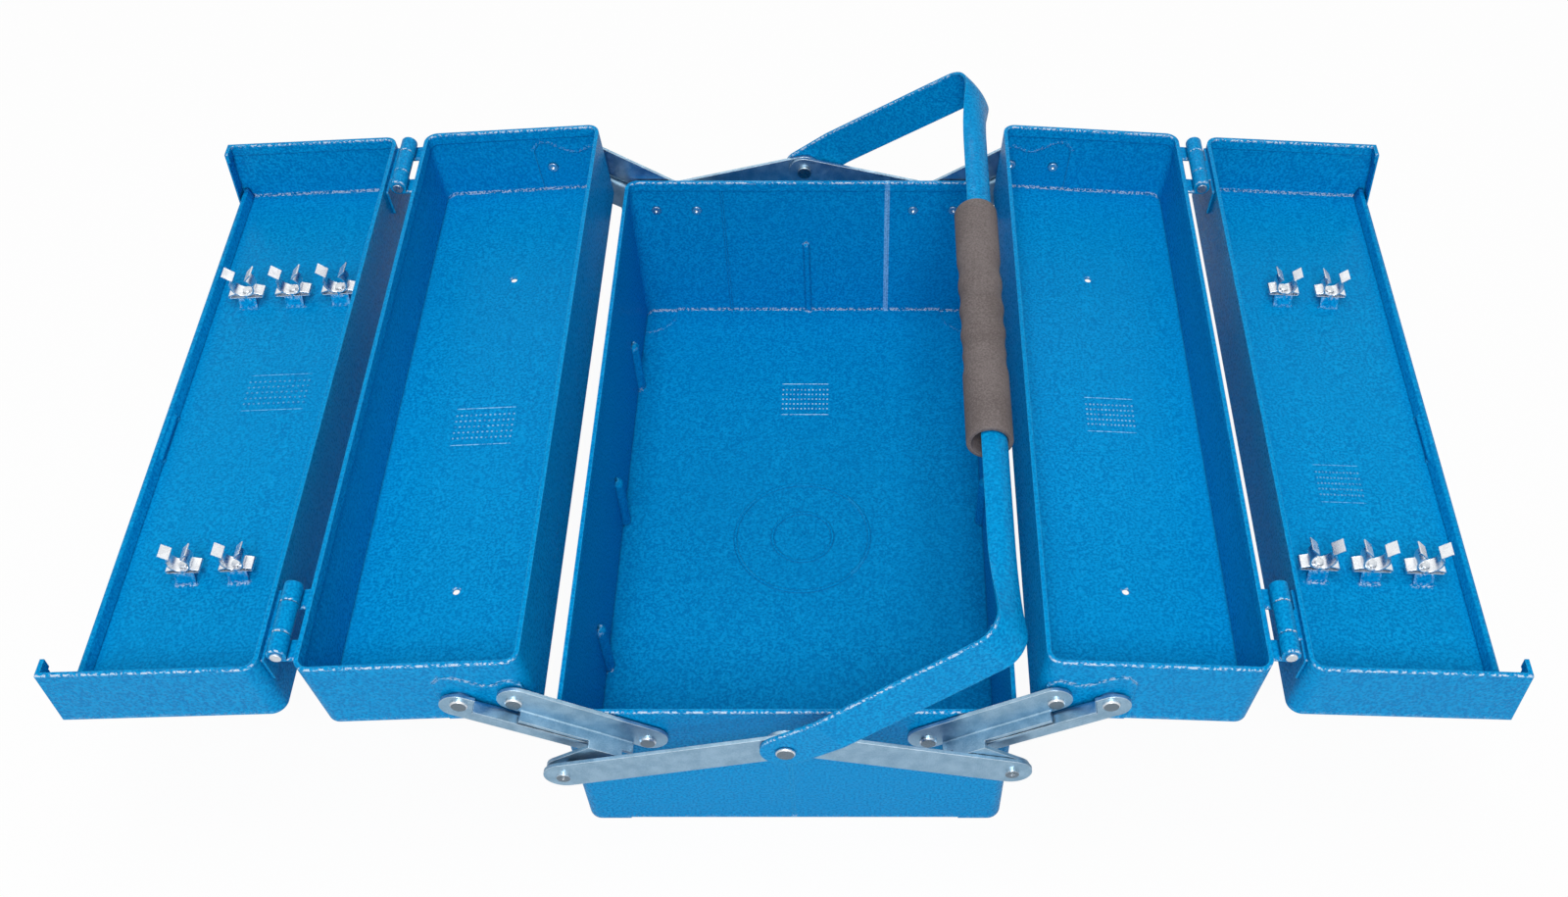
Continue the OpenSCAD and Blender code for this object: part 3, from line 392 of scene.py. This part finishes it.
class Finish:
    """A material under way: its wires start here, and done() joins them to the shader."""

    def __init__(self, name):
        self.material = bpy.data.materials.new(name)
        self.material.use_nodes = True
        self.material.node_tree.nodes.clear()
        self.start = Wire(self.material.node_tree)
        self.place = self.start.node("ShaderNodeTexCoord", out=3)

    def noise(self, size, detail):
        """Noise whose lumps are about the given size, from 0 to 1 round a middle of 0.5."""
        return self.start.node("ShaderNodeTexNoise", {},
                               {"Vector": self.place, "Scale": 1 / size, "Detail": detail})

    def cells(self, size):
        """Distance from the nearest of many scattered points, about 0 to 1."""
        return self.start.node("ShaderNodeTexVoronoi", {},
                               {"Vector": self.place, "Scale": 1 / size})

    def rounded(self, radius):
        """Normal of the surface with its edges and folds rounded."""
        return self.start.node("ShaderNodeBevel", {"samples": 6}, {"Radius": radius})

    def edge(self, radius):
        """1 along the edges and folds, 0 on flat sheet."""
        true_normal = self.start.node("ShaderNodeNewGeometry", out=3)
        likeness = self.start.node("ShaderNodeVectorMath", {"operation": "DOT_PRODUCT"},
                                   {0: self.rounded(radius), 1: true_normal}, out=1)
        return (1 - likeness).between(0.02, 0.2)

    def crevice_shade(self, reach):
        """Up to 0.75 in narrow hollows and along inner corners, 0 on open sheet: painted shade.
        """
        open_share = self.start.node("ShaderNodeAmbientOcclusion", {"samples": 6},
                                     {"Distance": reach}, out=1)
        return (1 - open_share).between(0.08, 0.5) * 0.75

    def past_end(self, least_y):
        """1 where a place is further than this from the middle of the box's length, 0 nearer."""
        return self.place.part(1).size().between(least_y, least_y + 2 * MM)

    def end_facing(self):
        """1 outside the end walls where the surface faces straight along the box's length."""
        normal = self.start.node("ShaderNodeNewGeometry", out=1)
        return normal.part(1).size().between(0.80, 0.93) * self.past_end(END_WALL + SHEET)

    def crease_highlight(self, half_width):
        """Mask of a painted highlight: 1 along the upright crease of the back wall, 0 elsewhere.
        """
        off_line = (self.place.part(0) - CREASE_X).size()
        in_line = 1 - off_line.between(half_width * 0.5, half_width)
        y = self.place.part(1)
        past_inside = y.between(END_WALL - 3 * MM, END_WALL - 2 * MM)
        past_outside = y.between(END_WALL + 0.5 * MM, END_WALL + 1 * MM)
        return in_line * past_inside * (1 - past_outside)

    def fold_glints(self, radius, least_y):
        """Painted highlight: bright glints along the folds and rims that run across the ends of
        the box.
        """
        normal = self.rounded(radius)
        folded = (normal.part(1) * normal.part(2) * -1).between(0.16, 0.42) * self.edge(radius)
        scattered = self.noise(1.6 * MM, 1.0).between(0.46, 0.57)
        return folded * self.past_end(least_y) * scattered

    def bump(self, height, distance, strength, normal=None):
        sockets = {"Height": height, "Distance": distance, "Strength": strength}
        if normal:
            sockets["Normal"] = normal
        return self.start.node("ShaderNodeBump", {}, sockets)

    def done(self, **sockets):
        """Joins wires and values to the shader's sockets, and gives the material."""
        named = {name.replace("_", " "): value for name, value in sockets.items()}
        shader = self.start.node("ShaderNodeBsdfPrincipled", {}, named)
        self.start.node("ShaderNodeOutputMaterial", {}, {"Surface": shader})
        return self.material


def blue_enamel(name="blue_enamel", dot_highlight=0.0, fold_r=0.8 * MM):
    """Hammered blue enamel: fine pimples, painted shade in crevices, and painted highlights along
    edges, folds, a crease and the pimples of pressed marks.
    """
    finish = Finish(name)
    pimples = finish.noise(1.5 * MM, 3.0)
    waves = finish.noise(7 * MM, 2.0)
    clouds = finish.noise(60 * MM, 2.0)
    raised = pimples.between(0.38, 0.62)
    colour = raised.mix(ENAMEL_LOW, ENAMEL_HIGH)
    colour = (clouds.between(0.35, 0.7) * 0.25).mix(colour, ENAMEL_CLOUD)
    colour = (pimples.between(0.62, 0.74) * 0.4).mix(colour, ENAMEL_SPECK)
    # Painted highlight along edges and folds
    colour = (finish.edge(0.9 * MM) * 0.5).mix(colour, ENAMEL_EDGE_HIGHLIGHT)
    # Painted shade in narrow hollows and inner corners
    colour = finish.crevice_shade(1.6 * MM).mix(colour, ENAMEL_PAINTED_SHADE)
    # Painted highlight on the pimples of pressed marks
    if dot_highlight:
        colour = (pimples.between(0.3, 0.6) * dot_highlight).mix(colour, ENAMEL_DOT_HIGHLIGHT)
    # Painted highlight along the back wall's crease
    crease_glint = finish.crease_highlight(2.1 * MM) * (0.45 + 0.35 * raised)
    colour = crease_glint.mix(colour, ENAMEL_CREASE_HIGHLIGHT)
    # Painted glints along folds and rims at the ends of the box
    colour = (finish.fold_glints(3 * MM, 95 * MM) * 0.95).mix(colour, ENAMEL_GLINT)
    height = pimples * 0.8 + waves * 0.5
    normal = finish.bump(height, 0.45 * MM, 0.9, finish.rounded(fold_r))
    return finish.done(Base_Color=colour, Roughness=0.26 + 0.10 * raised,
                       Specular_IOR_Level=0.07, Specular_Tint=ENAMEL_SHEEN, Normal=normal)


def zinc_plate(name, pale, dark, roughness, grain, dark_reflection=0.0):
    """Satin zinc on steel: cloudy tone, fine grain, painted highlights along edges, and a painted
    dark reflection on rivet faces.
    """
    finish = Finish(name)
    clouds = finish.noise(7 * MM, 4.0)
    fine = finish.noise(grain, 3.0)
    tone = (clouds * 0.55 + fine * 0.45).between(0.35, 0.65)
    colour = tone.mix(dark, pale)
    # Painted highlight along the zinc's edges
    colour = (finish.edge(0.5 * MM) * 0.6).mix(colour, ZINC_EDGE_HIGHLIGHT)
    # Painted dark reflection on the rivet faces outside the end walls
    if dark_reflection:
        colour = (finish.end_facing() * dark_reflection).mix(colour, RIVET_DARK_REFLECTION)
    normal = finish.bump(fine, 0.05 * MM, 0.35, finish.rounded(0.5 * MM))
    return finish.done(Base_Color=colour, Metallic=1.0, Roughness=roughness + 0.14 * tone,
                       Normal=normal)


def grip_foam():
    """Closed-cell foam: matt brown-grey skin, fine pores, painted highlights on edges and ends.
    """
    finish = Finish("grip_foam")
    pores = finish.noise(1.1 * MM, 4.0)
    clouds = finish.noise(26 * MM, 3.0)
    tone = (pores * 0.6 + clouds * 0.4).between(0.34, 0.66)
    colour = tone.mix(FOAM_DARK, FOAM_PALE)
    # Painted highlight along the foam's edges and ends
    colour = (finish.edge(1.2 * MM) * 0.7).mix(colour, FOAM_EDGE_HIGHLIGHT)
    height = pores * 0.7 + finish.cells(1.6 * MM) * 0.5
    normal = finish.bump(height, 0.25 * MM, 0.55)
    return finish.done(Base_Color=colour, Roughness=0.92, Specular_IOR_Level=0.25, Normal=normal)


finishes = {
    "blue_enamel": blue_enamel(),
    "zinc_steel": zinc_plate("zinc_steel", (0.37, 0.54, 0.67, 1), (0.24, 0.40, 0.53, 1),
                             0.34, 0.7 * MM),
    "bright_rivet": zinc_plate("bright_rivet", (0.80, 0.83, 0.86, 1), (0.62, 0.66, 0.70, 1),
                               0.24, 0.9 * MM, dark_reflection=0.9),
    "spring_steel": zinc_plate("spring_steel", (0.90, 0.92, 0.94, 1), (0.74, 0.77, 0.81, 1),
                               0.22, 0.9 * MM),
    "grip_foam": grip_foam(),
}

for part in frame["record"]["subparts"]:
    node = frame["nodes"][part["node"]]
    node.data.materials.clear()
    node.data.materials.append(finishes[part["material_slot"]])

# ---- Pieces ----

edge_enamel = blue_enamel("enamel_edge", 0.0, 0.5 * MM)
# The pressed marks carry a strong, a middling and a faint painted highlight on their pimples
bright_marks = blue_enamel("enamel_bright_marks", 0.95, 0.3 * MM)
soft_marks = blue_enamel("enamel_soft_marks", 0.5, 0.3 * MM)
faint_marks = blue_enamel("enamel_faint_marks", 0.25, 0.3 * MM)

grip_sleeve(finishes["grip_foam"])
front_face(finishes["blue_enamel"])
lid_edge("lid_edge_left", LID_LEFT, edge_enamel, "lid_left")
lid_edge("lid_edge_right", LID_RIGHT, edge_enamel, "lid_right")
pressed_marks("base_marks", BASE_FLOOR, -18 * MM, 16.5 * MM, 104.5 * MM, 133.5 * MM,
              bright_marks, "base")
pressed_marks("tray_marks_left", TRAY_LEFT, 41 * MM, 79 * MM, -20 * MM, 9 * MM,
              soft_marks, "tray_left")
pressed_marks("tray_marks_right", TRAY_RIGHT, 46 * MM, 77 * MM, -10 * MM, 17 * MM,
              soft_marks, "tray_right")
pressed_marks("lid_marks_left", LID_LEFT, 36 * MM, 76 * MM, 8 * MM, 37 * MM,
              faint_marks, "lid_left")
pressed_marks("lid_marks_right", LID_RIGHT, 42 * MM, 70 * MM, -64 * MM, -36 * MM,
              faint_marks, "lid_right")

# ---- Studio ----

def studio_floor(reach, whiteness):
    """Pale floor that shows white to the camera and keeps a faint shadow of the box."""
    finish = Finish("studio_floor")
    start = finish.start
    seen = start.node("ShaderNodeLightPath")
    matt = start.node("ShaderNodeBsdfDiffuse", {}, {"Color": FLOOR_GREY})
    white = start.node("ShaderNodeEmission", {}, {"Color": WHITE, "Strength": 1.0})
    both = start.node("ShaderNodeMixShader", {}, {0: seen * whiteness, 1: matt, 2: white})
    start.node("ShaderNodeOutputMaterial", {}, {"Surface": both})
    mesh = bpy.data.meshes.new("studio_floor")
    corners = [(-reach, -reach, 0), (reach, -reach, 0), (reach, reach, 0), (-reach, reach, 0)]
    mesh.from_pydata(corners, [], [(0, 1, 2, 3)])
    mesh.materials.append(finish.material)
    floor = bpy.data.objects.new("studio_floor", mesh)
    bpy.context.scene.collection.objects.link(floor)


def studio_world(level):
    """White surroundings to the camera and in reflections, and softer as light on the box."""
    world = bpy.data.worlds.new("studio_world")
    world.use_nodes = True
    world.node_tree.nodes.clear()
    start = Wire(world.node_tree)
    camera_ray = start.node("ShaderNodeLightPath", out=0)
    glossy_ray = start.node("ShaderNodeLightPath", out=3)
    through_ray = start.node("ShaderNodeLightPath", out=6)
    seen = start.maths("MAXIMUM", start.maths("MAXIMUM", camera_ray, glossy_ray), through_ray)
    strength = level + seen * (1 - level)
    sky = start.node("ShaderNodeBackground", {}, {"Color": WHITE, "Strength": strength})
    start.node("ShaderNodeOutputWorld", {}, {"Surface": sky})
    bpy.context.scene.world = world


def soft_box(name, place, size, power):
    """Square lamp that faces the middle of the box."""
    data = bpy.data.lights.new(name, "AREA")
    data.shape = "SQUARE"
    data.size = size
    data.energy = power
    made = bpy.data.objects.new(name, data)
    bpy.context.scene.collection.objects.link(made)
    made.location = place
    back_x, back_y, back_z = np.subtract(place, (0, 0, 0.1))
    tilt = math.atan2(math.hypot(back_x, back_y), back_z)
    made.rotation_euler = (tilt, 0, math.atan2(back_x, -back_y))


studio_floor(reach=40.0, whiteness=0.95)
studio_world(0.37)
soft_box("overhead", (0.0, 0.1, 2.2), 0.9, 11)
soft_box("key", (0.0, -1.5, 1.9), 0.8, 30)
soft_box("front_fill", (0.0, -2.4, 1.05), 0.35, 9)
soft_box("back_fill", (0.0, 2.5, 0.9), 0.7, 15)

camera_data = bpy.data.cameras.new("camera")
camera_data.lens = 34.756
camera_data.sensor_width = 36
camera_data.shift_x = -0.0495
camera_data.shift_y = 0.1016
camera_data.clip_start = 0.01
camera = bpy.data.objects.new("camera", camera_data)
camera.location = (0.0394, -0.6146, 0.8041)
camera.rotation_euler = (0.6040, 0, 0)
bpy.context.scene.collection.objects.link(camera)
bpy.context.scene.camera = camera
bpy.context.scene.view_settings.view_transform = "Standard"
